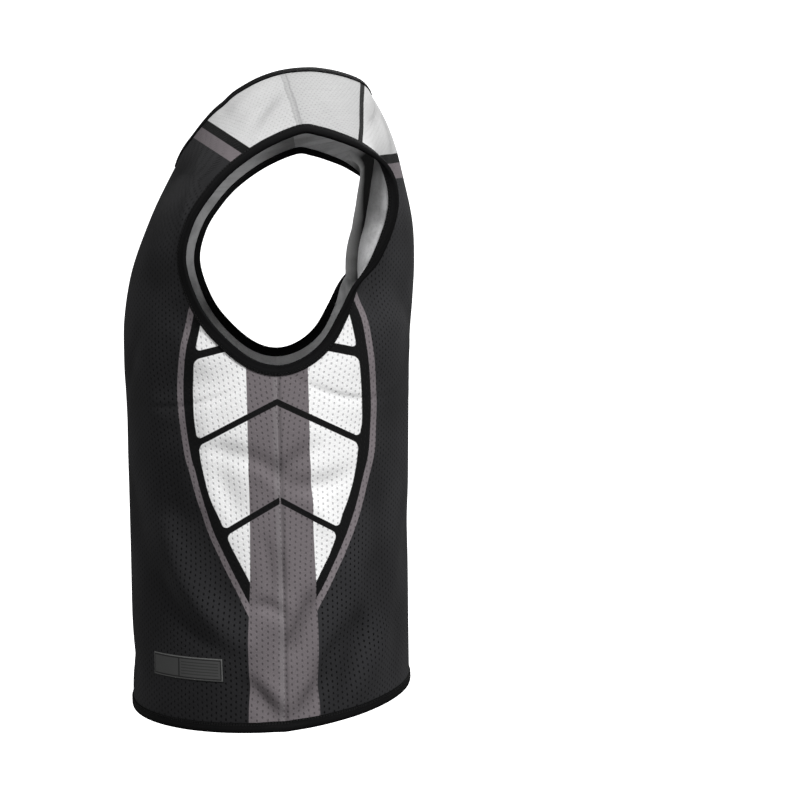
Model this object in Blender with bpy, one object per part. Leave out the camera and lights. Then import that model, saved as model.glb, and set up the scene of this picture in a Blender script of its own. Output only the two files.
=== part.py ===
"""Reversible lacrosse jersey, filled out as if worn, with nobody in it.

Two plies of net cloth hang one inside the other. Each ply is a front and a back panel, and
the plies meet at the bound edges: neck, two armholes and hem. Sizes below are millimetres.
X runs to the wearer's left, Y to the back and Z up. The origin lies midway between the two
straps, at the height where they rest on the shoulders.

A half panel is a grid. Its rows are cubic curves that leave the centre line, or the neck
edge above it, and arrive at the side seam, or the armhole edge above it.
"""
import math
from collections import namedtuple

import bpy
import numpy as np

MM = 0.001

# Cloth and seams
PLY_WALL = 1.0
PLY_CLEARANCE = 0.3
SEAM_CLEARANCE = 0.3
BINDING_WIDTH = 9.5
BINDING_WALL = 1.0
BINDING_CLEARANCE = 0.3

# Grid of a half panel
COLUMNS = 14
COLUMN_CROWDING = 0.5
BODY_ROWS = 8
FRONT_ARMHOLE_ROWS = 9
FRONT_NECK_ROWS = 6
BACK_ARMHOLE_ROWS = 11
BACK_NECK_ROWS = 5
CURVE_STEPS = 240

# Neck edge: an oval in plan, whose height follows the angle round it from the front
NECK_HALF_WIDTH = 88.0
NECK_HALF_DEPTH = 101.0
NECK_CENTRE_Y = -19.0
SHOULDER_ANGLE = 96.8
NeckHeight = namedtuple("NeckHeight", "angle z")
NECK_HEIGHTS = (
    NeckHeight(-30, -37.0),
    NeckHeight(0, -56.0),
    NeckHeight(30, -37.0),
    NeckHeight(60, 0.5),
    NeckHeight(75, 18.5),
    NeckHeight(90, 29.5),
    NeckHeight(105, 34.5),
    NeckHeight(120, 35.0),
    NeckHeight(150, 29.0),
    NeckHeight(180, 22.0),
    NeckHeight(210, 29.0),
)

# Side seam, from the hem up to the underarm, shared by the front and the back
SIDE_SEAM = (
    (195.0, -7.0, -634.2),
    (191.0, -11.0, -490.0),
    (191.5, -13.0, -370.0),
    (193.5, -14.5, -320.0),
    (195.0, -15.0, -270.5),
)
UNDERARM = 4
SHOULDER_TIP = (191.0, 8.0, -38.0)


def smooth_table(rows, place):
    """Value at a place along a table's rows, on a smooth curve through them."""
    rows = np.asarray(rows, float)
    last = len(rows) - 1
    before = min(int(place), last - 1)
    part = place - before

    def slope(row):
        if row == 0:
            return (4 * rows[1] - rows[2] - 3 * rows[0]) / 2
        if row == last:
            return (3 * rows[last] - 4 * rows[last - 1] + rows[last - 2]) / 2
        return (rows[row + 1] - rows[row - 1]) / 2

    return (rows[before] * (2 * part ** 3 - 3 * part ** 2 + 1)
            + slope(before) * (part ** 3 - 2 * part ** 2 + part)
            + rows[before + 1] * (3 * part ** 2 - 2 * part ** 3)
            + slope(before + 1) * (part ** 3 - part ** 2))


def neck_point(angle):
    """Point on the neck edge at an angle round it, in degrees from the front centre."""
    heights = [row.z for row in NECK_HEIGHTS]
    places = np.interp(angle, [row.angle for row in NECK_HEIGHTS], range(len(heights)))
    turned = math.radians(angle)
    return (NECK_HALF_WIDTH * math.sin(turned), NECK_CENTRE_Y - NECK_HALF_DEPTH * math.cos(turned),
            float(smooth_table(heights, places)))


# A row curve leaves its start and arrives at its end along a heading: degrees turned from +X
# toward the back, degrees dropped below level, and the reach of the curve's handle. Above the
# neck's centre a start is an angle round the neck edge.
Section = namedtuple("Section", "start leave end arrive")
FRONT_SECTIONS = (
    Section((0, -171, -638.5), (0, -0.5, 108), SIDE_SEAM[0], (90, -1.3, 92)),
    Section((0, -173, -500), (0, 0, 110), SIDE_SEAM[1], (90, -2, 95)),
    Section((0, -175.5, -385), (0, 0, 114), SIDE_SEAM[2], (90, -7, 105)),
    Section((0, -176.5, -340), (0, 0, 116), SIDE_SEAM[3], (90, -20, 112)),
    Section((0, -178.5, -306), (0, 0, 115), SIDE_SEAM[4], (90, -32, 126)),
    Section((0, -180, -286), (0, 0, 113), (194.5, -41, -263.5), (82, -32, 105)),
    Section((0, -180.5, -262), (0, 0, 108), (193, -68, -242), (74, -30, 87)),
    Section((0, -179.5, -226), (0, 0, 102), (191.5, -92, -211.5), (58, -22, 72)),
    Section((0, -171.5, -180), (0, 3, 98), (190, -107, -167), (44, 0, 60)),
    Section((0, -154, -128), (-4, 14, 88), (190, -100, -129.6), (32, 24, 55)),
    Section(0, (-24, 39, 45), (190, -81.8, -99.8), (24, 38, 50)),
    Section(38, (-14, 37, 40), (190.5, -60, -76), (17, 42, 45)),
    Section(68, (4, 33, 35), (191, -28, -53.5), (10, 46, 38)),
    Section(SHOULDER_ANGLE, (4, 28, 35), SHOULDER_TIP, (8, 48, 36)),
)
BACK_SECTIONS = (
    Section((0, 130, -620.5), (0, -1, 108), SIDE_SEAM[0], (-90, 7.5, 76)),
    Section((0, 128, -485), (0, 0, 110), SIDE_SEAM[1], (-90, 3, 79)),
    Section((0, 128, -365), (0, 0, 114), SIDE_SEAM[2], (-90, -7, 87)),
    Section((0, 128, -322), (0, 0, 116), SIDE_SEAM[3], (-90, -20, 96)),
    Section((0, 128, -292), (0, 0, 116), SIDE_SEAM[4], (-90, -32, 114)),
    Section((0, 128.3, -272), (0, 0, 112), (195, 10, -263.5), (-88, -34, 88)),
    Section((0, 129, -250), (0, 0, 109), (195, 32, -245), (-76, -32, 72)),
    Section((0, 130.5, -226), (0, 0, 108), (195.5, 50, -214), (-44, -24, 58)),
    Section((0, 132.5, -200), (0, 0, 110), (196, 63, -190), (0, -18, 50)),
    Section((0, 134, -165), (0, 0, 122), (197, 86, -164), (44, -10, 64)),
    Section((0, 132, -122), (0, 4, 128), (198, 102, -125), (62, -4, 76)),
    Section((0, 123, -78), (0, 8, 122), (197.5, 104, -95), (60, 6, 72)),
    Section((0, 108, -25), (6, 18, 100), (196, 94, -71), (38, 24, 56)),
    Section(180, (27, 37, 62), (194.5, 71, -55), (10, 38, 50)),
    Section(146, (36, 36, 46), (193, 49, -46), (2, 44, 42)),
    Section(120, (18, 31, 38), (192, 27, -39.5), (4, 47, 38)),
    Section(SHOULDER_ANGLE, (4, 28, 35), SHOULDER_TIP, (8, 48, 36)),
)

# Largest folds, as soft ridges (depth above 0) or troughs along a line on one face
Fold = namedtuple("Fold", "face across_1 z_1 across_2 z_2 width depth")
FOLDS = (
    Fold("left", -142, -180, -104, -232, 15, -3.5),
    Fold("left", -122, -205, -92, -262, 17, 2.5),
    Fold("left", -108, -526, -46, -570, 17, -4.0),
    Fold("left", -62, -560, -12, -520, 18, 2.5),
    Fold("left", 2, -548, 18, -512, 13, -3.0),
    Fold("left", 36, -580, 66, -540, 16, -3.5),
    Fold("left", -42, -596, -10, -622, 13, -3.0),
    Fold("left", 78, -250, 104, -330, 20, -2.5),
    Fold("right", -138, -190, -100, -246, 16, -3.5),
    Fold("right", -96, -548, -34, -582, 18, -4.0),
    Fold("right", -8, -530, 22, -566, 14, -3.0),
    Fold("right", 48, -560, 82, -596, 16, -3.5),
    Fold("right", 84, -236, 100, -318, 20, -2.5),
    Fold("front", -96, -330, -52, -430, 22, -3.0),
    Fold("front", 66, -418, 116, -505, 24, -3.0),
    Fold("front", -20, -560, 42, -606, 20, -2.5),
    Fold("back", -78, -70, -34, -24, 16, -3.0),
    Fold("back", 78, -70, 34, -24, 16, -3.0),
    Fold("back", -88, -300, -36, -392, 24, -3.0),
    Fold("back", 40, -450, 104, -540, 24, -3.5),
)
FACE_AXES = {"left": (1, 0, 1), "right": (1, 0, -1), "front": (0, 1, -1), "back": (0, 1, 1)}

# Size label, sewn on the outer front panel low on the wearer's left
LABEL_WIDTH = 100.0
LABEL_HEIGHT = 24.0
LABEL_WALL = 1.0
LABEL_CLEARANCE = 0.4
LABEL_CENTRE_Z = -582.0
LABEL_CENTRE_Y = -110.0
LABEL_COLUMNS = 20
LABEL_ROWS = 5


def heading(turn, drop):
    """Unit vector for a turn from +X toward the back and a drop below level, in degrees."""
    turned, dropped = math.radians(turn), math.radians(drop)
    return np.array((math.cos(dropped) * math.cos(turned), math.cos(dropped) * math.sin(turned),
                     -math.sin(dropped)))


class HalfPanel:
    """Grid of points over the left half of a front or back panel."""

    def __init__(self, sections, other_sections, armhole_rows, neck_rows):
        starts = [section.start for section in sections]
        self.last = len(sections) - 1
        self.neck_corner = next(row for row, start in enumerate(starts) if not isinstance(start, tuple))
        self.angles = starts[self.neck_corner:]
        self.centre_line = starts[:self.neck_corner] + [neck_point(self.angles[0])]
        edges = [section.end for section in sections[UNDERARM:]]
        self.armhole = [other_sections[UNDERARM + 1].end] + edges + [other_sections[-2].end]
        self.leaves = [section.leave for section in sections]
        self.arrivals = [section.arrive for section in sections]
        places = self.row_places(armhole_rows, neck_rows)
        self.underarm = places.index(UNDERARM)
        self.neck = places.index(self.neck_corner)
        self.points = np.array([self.row(place) for place in places])

    def start(self, place):
        if place < self.neck_corner:
            return smooth_table(self.centre_line, place)
        return np.array(neck_point(float(smooth_table(self.angles, place - self.neck_corner))))

    def end(self, place):
        if place < UNDERARM:
            return smooth_table(SIDE_SEAM, place)
        return smooth_table(self.armhole, place - UNDERARM + 1)

    def row_places(self, armhole_rows, neck_rows):
        """Places of the grid's rows among the sections, a binding's width in from each edge."""
        hem_row = self.place_at(self.end, 0, UNDERARM, BINDING_WIDTH, True)
        under_row = self.place_at(self.end, 0, UNDERARM, BINDING_WIDTH, False)
        neck_row = self.place_at(self.start, UNDERARM, self.neck_corner - 1e-6, BINDING_WIDTH, False)
        body = self.even_places(hem_row, under_row, BODY_ROWS)
        armhole = self.even_places(UNDERARM, neck_row, armhole_rows)
        strap = self.even_places(self.neck_corner, self.last, neck_rows)
        return [0.0] + body + armhole + strap

    @staticmethod
    def place_at(edge, low, high, distance, from_low):
        """Place on an edge at a distance from one of its ends."""
        anchor = edge(low if from_low else high)
        near, far = (low, high) if from_low else (high, low)
        for _ in range(50):
            middle = (near + far) / 2
            if np.linalg.norm(edge(middle) - anchor) < distance:
                near = middle
            else:
                far = middle
        return near

    def even_places(self, low, high, count):
        """Places evenly apart along the outer edge, both ends included."""
        fine = np.linspace(low, high, CURVE_STEPS)
        spots = np.array([self.end(place) for place in fine])
        run = np.concatenate(([0.0], np.cumsum(np.linalg.norm(np.diff(spots, axis=0), axis=1))))
        places = list(np.interp(np.linspace(0, run[-1], count + 1), run, fine))
        places[0], places[-1] = float(low), float(high)
        return places

    def row(self, place):
        """Points of one row, spaced along its curve and crowded toward the armhole."""
        start, end = self.start(place), self.end(place)
        leave = smooth_table(self.leaves, place)
        arrive = smooth_table(self.arrivals, place)
        handles = (start, start + heading(*leave[:2]) * leave[2], end - heading(*arrive[:2]) * arrive[2], end)
        part = np.linspace(0, 1, CURVE_STEPS)[:, None]
        curve = sum(handle * math.comb(3, power) * part ** power * (1 - part) ** (3 - power)
                    for power, handle in enumerate(handles))
        run = np.concatenate(([0.0], np.cumsum(np.linalg.norm(np.diff(curve, axis=0), axis=1))))
        first = self.strip_width(self.start, place, self.neck_corner, heading(*leave[:2]))
        final = self.strip_width(self.end, place, UNDERARM, heading(*arrive[:2]))
        steps = 1 - COLUMN_CROWDING * (np.arange(COLUMNS - 2) / (COLUMNS - 3)) ** 2
        steps *= (run[-1] - first - final) / steps.sum()
        stops = np.concatenate(([0.0, first], first + np.cumsum(steps), [run[-1]]))
        return np.stack([np.interp(stops, run, curve[:, axis]) for axis in range(3)], axis=1)

    def strip_width(self, edge, place, corner, direction):
        """Length along a row that lies a binding's width in from a bound edge."""
        if place < corner or place >= self.last:
            return BINDING_WIDTH
        along = edge(min(place + 0.01, self.last)) - edge(place)
        along /= np.linalg.norm(along)
        across = math.sqrt(max(1 - float(np.dot(along, direction)) ** 2, 0.3))
        return BINDING_WIDTH / across


def mirrored(points):
    return points * np.array((-1, 1, 1))


def spot_key(spot):
    return tuple(int(round(value * 10000)) for value in spot)


def cell_corners(row, column):
    """Grid places round one cell, in order."""
    return ((row, column), (row, column + 1), (row + 1, column + 1), (row + 1, column))


def second_is_shorter(ring):
    """Whether the diagonal that joins the second and fourth of four points is the shorter."""
    return np.linalg.norm(ring[1] - ring[3]) < np.linalg.norm(ring[0] - ring[2]) - 1e-6


class Half:
    """Placed half of a panel: its points, their normals and whether its cells face in."""

    def __init__(self, drawn, on_left, is_front):
        self.points = drawn.points.copy() if on_left else mirrored(drawn.points)
        self.normals = None
        self.faces_in = on_left != is_front
        self.underarm = drawn.underarm
        self.neck = drawn.neck
        self.last = drawn.points.shape[0] - 1

    def cells(self):
        """Corners of each cell, in order round it."""
        for row in range(self.last):
            for column in range(COLUMNS):
                yield cell_corners(row, column)

    def parted_by_second(self, cell):
        """Whether a cell's diagonal joins its second and fourth corners, not the others."""
        corner_cells = {(self.underarm - 1, COLUMNS - 1): True, (self.neck - 1, 0): False}
        return corner_cells.get(cell[0], second_is_shorter([self.points[place] for place in cell]))

    def spot(self, up, across):
        """Point and normal at a place between the grid's rows and columns, on its triangles."""
        row, column = int(up), int(across)
        up, across = up - row, across - column
        cell = cell_corners(row, column)
        if self.parted_by_second(cell):
            near, far = (1 - up - across, across, 0, up), (0, 1 - up, up + across - 1, 1 - across)
            shares = near if up + across < 1 else far
        else:
            below, above = (1 - across, across - up, up, 0), (1 - up, 0, across, up - across)
            shares = below if across > up else above
        return [sum(grid[place] * share for place, share in zip(cell, shares))
                for grid in (self.points, self.normals)]

    def border(self):
        """Free edge, from the centre of the hem round to the centre of the neck."""
        path = [(0, column) for column in range(COLUMNS + 1)]
        path += [(row, COLUMNS) for row in range(1, self.last + 1)]
        path += [(self.last, column) for column in range(COLUMNS - 1, -1, -1)]
        path += [(row, 0) for row in range(self.last - 1, self.neck - 1, -1)]
        return path

    def seams_drawn_back(self):
        """Points with the side and shoulder seams drawn back by half the seam's clearance."""
        drawn = self.points.copy()
        for row in range(self.underarm + 1):
            along = self.points[row, -2] - self.points[row, -1]
            drawn[row, -1] += along / np.linalg.norm(along) * SEAM_CLEARANCE / 2
        along = self.points[-2] - self.points[-1]
        drawn[-1] += along / np.linalg.norm(along, axis=1)[:, None] * SEAM_CLEARANCE / 2
        return drawn

    def station(self, edge, leg):
        return Station(self.points[edge], self.normals[edge], self.points[leg], self.normals[leg])


Station = namedtuple("Station", "edge edge_normal leg leg_normal")


def share_normals(halves):
    """Give each point its unit normal, the same on both sides of a seam."""
    sums = {}
    for half in halves:
        for cell in half.cells():
            spots = [half.points[place] for place in cell]
            normal = np.cross(spots[2] - spots[0], spots[3] - spots[1])
            for spot in spots:
                key = spot_key(spot)
                sums[key] = sums.get(key, 0) + (-normal if half.faces_in else normal)
    for half in halves:
        half.normals = np.array([[sums[spot_key(spot)] for spot in row] for row in half.points])
        half.normals /= np.linalg.norm(half.normals, axis=2)[:, :, None]


def fold_lift(spot, normal):
    """How far the folds move a point of the cloth along its normal."""
    lift = 0.0
    for fold in FOLDS:
        across_axis, facing_axis, sign = FACE_AXES[fold.face]
        facing = min(max(normal[facing_axis] * sign * 2.5 - 0.4, 0), 1)
        here = np.array((spot[across_axis], spot[2]))
        start = np.array((fold.across_1, fold.z_1))
        along = np.array((fold.across_2, fold.z_2)) - start
        part = min(max(np.dot(here - start, along) / np.dot(along, along), 0), 1)
        distance = np.linalg.norm(here - start - along * part)
        lift += fold.depth * facing * math.exp(-(distance / fold.width) ** 2)
    return lift


def add_folds(halves):
    for half in halves:
        for place in np.ndindex(half.points.shape[:2]):
            normal = half.normals[place]
            half.points[place] += normal * fold_lift(half.points[place], normal)


class Surface:
    """Closed mesh under construction, in which points at one place are one vertex."""

    def __init__(self):
        self.spots = []
        self.numbers = {}
        self.faces = []

    def number(self, spot):
        key = spot_key(spot)
        if key not in self.numbers:
            self.numbers[key] = len(self.spots)
            self.spots.append(tuple(spot))
        return self.numbers[key]

    def triangle(self, *corners):
        numbers = [self.number(spot) for spot in corners]
        if len(set(numbers)) == 3:
            self.faces.append(numbers)

    def quad(self, ring, by_second):
        """Two triangles over four points, parted along the second diagonal or the first."""
        if by_second:
            self.triangle(ring[0], ring[1], ring[3])
            self.triangle(ring[1], ring[2], ring[3])
        else:
            self.triangle(ring[0], ring[1], ring[2])
            self.triangle(ring[0], ring[2], ring[3])

    def build(self, name, finish):
        mesh = bpy.data.meshes.new(name)
        mesh.from_pydata([tuple(value * MM for value in spot) for spot in self.spots], [], self.faces)
        mesh.shade_smooth()
        mesh.set_sharp_from_angle(angle=math.radians(40))
        material = bpy.data.materials.new(name)
        material.use_nodes = True
        shader = material.node_tree.nodes["Principled BSDF"]
        shader.inputs["Base Color"].default_value = (*finish.colour, 1)
        shader.inputs["Roughness"].default_value = finish.roughness
        shader.inputs["Metallic"].default_value = 0.0
        mesh.materials.append(material)
        bpy.context.collection.objects.link(bpy.data.objects.new(name, mesh))


def panel(name, halves, inner, outer, finish):
    """One panel of one ply: a wall between two distances from the shared points."""
    surface = Surface()
    for half in halves:
        drawn = half.seams_drawn_back()
        skins = (drawn + half.normals * outer, drawn + half.normals * inner)
        out_skin, in_skin = (skins[1], skins[0]) if half.faces_in else skins
        for ring in half.cells():
            by_second = half.parted_by_second(ring)
            surface.quad([out_skin[place] for place in ring], by_second)
            surface.quad([in_skin[place] for place in (ring[0], ring[3], ring[2], ring[1])], by_second)
        border = half.border()
        for here, after in zip(border, border[1:]):
            surface.quad([out_skin[here], in_skin[here], in_skin[after], out_skin[after]], False)
    surface.build(name, finish)


def binding(name, stations, finish):
    """Folded tape round a run of edge points, with a leg on each face of the cloth."""
    inner = PLY_CLEARANCE / 2 + PLY_WALL + BINDING_CLEARANCE
    outer = inner + BINDING_WALL
    profiles = []
    for number, station in enumerate(stations):
        others = stations[number + 1:] + stations[:number]
        apart = [other.edge for other in others if np.linalg.norm(other.edge - station.edge) > 1]
        outward = np.cross(apart[0] - apart[-1], station.edge_normal)
        outward /= np.linalg.norm(outward)
        near = station.edge + outward * BINDING_CLEARANCE
        far = near + outward * BINDING_WALL
        edge_normal, leg_normal = station.edge_normal, station.leg_normal
        profiles.append((
            station.leg + leg_normal * outer, far + edge_normal * outer,
            far - edge_normal * outer, station.leg - leg_normal * outer,
            station.leg - leg_normal * inner, near - edge_normal * inner,
            near + edge_normal * inner, station.leg + leg_normal * inner))
    surface = Surface()
    for number, here in enumerate(stations):
        after = (number + 1) % len(stations)
        there = stations[after]
        by_second = second_is_shorter((here.leg, here.edge, there.edge, there.leg))
        for corner in range(8):
            other = (corner + 1) % 8
            runs_from_edge = corner in (2, 6)
            surface.quad((profiles[number][corner], profiles[number][other],
                          profiles[after][other], profiles[after][corner]), by_second != runs_from_edge)
    surface.build(name, finish)


def armhole_run(first, second):
    """Stations round an armhole, up one half's edge and down the other's."""
    side_corner = first.station((first.underarm, COLUMNS), (first.underarm - 1, COLUMNS))
    up = [first.station((row, COLUMNS), (row, COLUMNS - 1)) for row in range(first.underarm, first.last + 1)]
    down = [second.station((row, COLUMNS), (row, COLUMNS - 1))
            for row in range(second.last - 1, second.underarm - 1, -1)]
    return [side_corner] + up + down


def neck_run(front_left, front_right, back_left, back_right):
    """Stations round the neck, from the front centre over the right shoulder."""
    def up(half):
        centre = half.station((half.neck, 0), (half.neck - 1, 0))
        return [centre] + [half.station((row, 0), (row, 1)) for row in range(half.neck, half.last)]

    def shoulder(half):
        return [half.station((half.last, 0), (half.last, 1))]

    return (up(front_right) + shoulder(front_right) + up(back_right)[:0:-1]
            + up(back_left) + shoulder(back_left) + up(front_left)[:0:-1])


def hem_run(front_left, front_right, back_left, back_right):
    """Stations round the hem, from the front centre by the left side."""
    def along(half, columns):
        return [half.station((0, column), (1, column)) for column in columns]

    return (along(front_left, range(COLUMNS)) + along(back_left, range(COLUMNS, 0, -1))
            + along(back_right, range(COLUMNS)) + along(front_right, range(COLUMNS, 0, -1)))


def size_label(half, finish):
    """Flat label on the points of the panel under it, moved out."""
    heights = half.points[:half.underarm, COLUMNS // 2, 2]
    ups = np.interp(np.linspace(-LABEL_HEIGHT / 2, LABEL_HEIGHT / 2, LABEL_ROWS + 1) + LABEL_CENTRE_Z,
                    heights, range(len(heights)))
    middle = half.points[int(ups.mean())]
    run = np.concatenate(([0.0], np.cumsum(np.linalg.norm(np.diff(middle, axis=0), axis=1))))
    centre = np.interp(LABEL_CENTRE_Y, middle[:, 1], run)
    stops = np.linspace(-LABEL_WIDTH / 2, LABEL_WIDTH / 2, LABEL_COLUMNS + 1) + centre
    acrosses = np.interp(stops, run, range(COLUMNS + 1))
    spots = np.array([[half.spot(up, across) for across in acrosses] for up in ups])
    points, normals = spots[:, :, 0], spots[:, :, 1]
    underside = PLY_CLEARANCE / 2 + PLY_WALL + LABEL_CLEARANCE
    out_skin, in_skin = points + normals * (underside + LABEL_WALL), points + normals * underside
    surface = Surface()
    for row, column in np.ndindex(LABEL_ROWS, LABEL_COLUMNS):
        ring = cell_corners(row, column)
        surface.quad([out_skin[place] for place in ring], False)
        surface.quad([in_skin[place] for place in (ring[0], ring[3], ring[2], ring[1])], True)
    border = [(0, column) for column in range(LABEL_COLUMNS + 1)]
    border += [(row, LABEL_COLUMNS) for row in range(1, LABEL_ROWS + 1)]
    border += [(LABEL_ROWS, column) for column in range(LABEL_COLUMNS - 1, -1, -1)]
    border += [(row, 0) for row in range(LABEL_ROWS - 1, -1, -1)]
    for here, after in zip(border, border[1:]):
        surface.quad([out_skin[here], in_skin[here], in_skin[after], out_skin[after]], False)
    surface.build("size_label", finish)


Finish = namedtuple("Finish", "colour roughness")
DARK_NET = Finish((0.017, 0.017, 0.018), 0.75)
LIGHT_NET = Finish((0.80, 0.80, 0.81), 0.8)
BLACK_TAPE = Finish((0.008, 0.008, 0.008), 0.7)
GREY_LABEL = Finish((0.06, 0.06, 0.063), 0.55)

for existing in list(bpy.data.objects):
    bpy.data.objects.remove(existing, do_unlink=True)

front_drawn = HalfPanel(FRONT_SECTIONS, BACK_SECTIONS, FRONT_ARMHOLE_ROWS, FRONT_NECK_ROWS)
back_drawn = HalfPanel(BACK_SECTIONS, FRONT_SECTIONS, BACK_ARMHOLE_ROWS, BACK_NECK_ROWS)
front_left = Half(front_drawn, True, True)
front_right = Half(front_drawn, False, True)
back_left = Half(back_drawn, True, False)
back_right = Half(back_drawn, False, False)
quarters = (front_left, front_right, back_left, back_right)
share_normals(quarters)
add_folds(quarters)
share_normals(quarters)

near_face = PLY_CLEARANCE / 2
far_face = near_face + PLY_WALL
panel("outer_front", (front_left, front_right), near_face, far_face, DARK_NET)
panel("outer_back", (back_left, back_right), near_face, far_face, DARK_NET)
panel("inner_front", (front_left, front_right), -far_face, -near_face, LIGHT_NET)
panel("inner_back", (back_left, back_right), -far_face, -near_face, LIGHT_NET)
binding("neck_binding", neck_run(*quarters), BLACK_TAPE)
binding("armhole_binding_left", armhole_run(front_left, back_left), BLACK_TAPE)
binding("armhole_binding_right", armhole_run(back_right, front_right), BLACK_TAPE)
binding("hem_binding", hem_run(*quarters), BLACK_TAPE)
size_label(front_left, GREY_LABEL)
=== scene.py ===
"""Reversible lacrosse jersey, filled out as if worn and seen from the wearer's left.

Sizes are millimetres unless a line says otherwise. X runs to the wearer's left, Y to the back
and Z up, from a point midway between the two straps.
"""

import math
from collections import namedtuple

import bpy
import numpy as np
from mathutils import Euler, Matrix, Vector
from mathutils.bvhtree import BVHTree


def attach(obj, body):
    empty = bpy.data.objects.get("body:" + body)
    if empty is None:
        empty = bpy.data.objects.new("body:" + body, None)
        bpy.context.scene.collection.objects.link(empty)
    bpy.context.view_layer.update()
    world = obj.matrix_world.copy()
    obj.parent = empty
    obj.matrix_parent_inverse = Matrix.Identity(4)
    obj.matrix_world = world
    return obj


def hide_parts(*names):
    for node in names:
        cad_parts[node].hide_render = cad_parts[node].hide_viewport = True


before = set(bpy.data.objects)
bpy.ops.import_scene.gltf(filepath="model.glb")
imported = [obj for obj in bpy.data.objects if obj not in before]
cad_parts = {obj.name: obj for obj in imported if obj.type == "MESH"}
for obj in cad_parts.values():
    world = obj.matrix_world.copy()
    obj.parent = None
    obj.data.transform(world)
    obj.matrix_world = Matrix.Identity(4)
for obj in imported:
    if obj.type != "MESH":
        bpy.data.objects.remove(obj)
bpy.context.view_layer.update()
MM = 0.001

# ---------------- outer front and back panels
# The dark ply: two panels of knitted polyester mesh with a fine net of eyelets, printed in
# black, grey and white before cutting. They are overlocked to each other at the side seams and
# shoulders, and hang over the light ply, joined to it only under the bindings.
NECK_HALF_WIDTH = 88.0
NECK_HALF_DEPTH = 101.0
NECK_CENTRE_Y = -19.0
SHOULDER_ANGLE = 96.8
NECK_HEIGHTS = ((-30, -37.0), (0, -56.0), (30, -37.0), (60, 0.5), (75, 18.5), (90, 29.5), (105, 34.5),
                (120, 35.0), (150, 29.0), (180, 22.0), (210, 29.0))
SIDE_SEAM = ((195.0, -7.0, -634.2), (191.0, -9.2, -490.0), (191.5, -13.2, -370.0),
             (193.5, -14.5, -320.0), (195.0, -15.0, -270.5))
UNDERARM = 4
SHOULDER_TIP = (191.0, 8.0, -38.0)

# Curves across half a panel, from the hem to the shoulder seam. Each leaves the centre line, or
# the neck edge at an angle round it, and arrives at the side seam or the armhole along a heading:
# degrees turned from +X toward the back, degrees dropped below level, and the handle's reach.
Section = namedtuple("Section", "start leave end arrive")
FRONT_SECTIONS = (
    Section((0, -171, -638.5), (0, -0.5, 108), SIDE_SEAM[0], (90, -1.3, 92)),
    Section((0, -173, -500), (0, 0, 110), SIDE_SEAM[1], (90, -2, 95)),
    Section((0, -175.5, -385), (0, 0, 114), SIDE_SEAM[2], (90, -7, 105)),
    Section((0, -176.5, -340), (0, 0, 116), SIDE_SEAM[3], (90, -20, 112)),
    Section((0, -178.5, -306), (0, 0, 115), SIDE_SEAM[4], (90, -32, 126)),
    Section((0, -180, -286), (0, 0, 113), (194.5, -41, -263.5), (82, -32, 105)),
    Section((0, -180.5, -262), (0, 0, 108), (193, -68, -242), (74, -30, 87)),
    Section((0, -179.5, -226), (0, 0, 102), (191.5, -92, -211.5), (58, -22, 72)),
    Section((0, -171.5, -180), (0, 3, 98), (190, -107, -167), (44, 0, 60)),
    Section((0, -154, -128), (-4, 14, 88), (190, -100, -129.6), (32, 24, 55)),
    Section(0, (-24, 39, 45), (190, -81.8, -99.8), (24, 38, 50)),
    Section(38, (-14, 37, 40), (190.5, -60, -76), (17, 42, 45)),
    Section(68, (4, 33, 35), (191, -28, -53.5), (10, 46, 38)),
    Section(SHOULDER_ANGLE, (4, 28, 35), SHOULDER_TIP, (8, 48, 36)),
)
BACK_SECTIONS = (
    Section((0, 130, -620.5), (0, -1, 108), SIDE_SEAM[0], (-90, 7.5, 76)),
    Section((0, 128, -485), (0, 0, 110), SIDE_SEAM[1], (-90, 3, 79)),
    Section((0, 128, -365), (0, 0, 114), SIDE_SEAM[2], (-90, -7, 87)),
    Section((0, 128, -322), (0, 0, 116), SIDE_SEAM[3], (-90, -20, 96)),
    Section((0, 128, -292), (0, 0, 116), SIDE_SEAM[4], (-90, -32, 114)),
    Section((0, 128.3, -272), (0, 0, 112), (195, 10, -263.5), (-88, -34, 88)),
    Section((0, 129, -250), (0, 0, 109), (195, 32, -245), (-76, -32, 72)),
    Section((0, 130.5, -226), (0, 0, 108), (195.5, 50, -214), (-44, -24, 58)),
    Section((0, 132.5, -200), (0, 0, 110), (196, 63, -190), (0, -18, 50)),
    Section((0, 134, -165), (0, 0, 122), (197, 86, -164), (44, -10, 64)),
    Section((0, 132, -122), (0, 4, 128), (198, 102, -125), (62, -4, 76)),
    Section((0, 123, -78), (0, 8, 122), (197.5, 104, -95), (60, 6, 72)),
    Section((0, 108, -25), (6, 18, 100), (196, 94, -71), (38, 24, 56)),
    Section(180, (27, 37, 62), (194.5, 71, -55), (10, 38, 50)),
    Section(146, (36, 36, 46), (193, 49, -46), (2, 44, 42)),
    Section(120, (18, 31, 38), (192, 27, -39.5), (4, 47, 38)),
    Section(SHOULDER_ANGLE, (4, 28, 35), SHOULDER_TIP, (8, 48, 36)),
)
COLUMNS = 76
BODY_ROWS, ARMHOLE_ROWS, STRAP_ROWS = 78, 46, 32
PANEL_SKIN = 0.6
OUTER_FACE = 1.15
HEM_FALL_TOP, HEM_FALL_REACH = -480, 155

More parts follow.
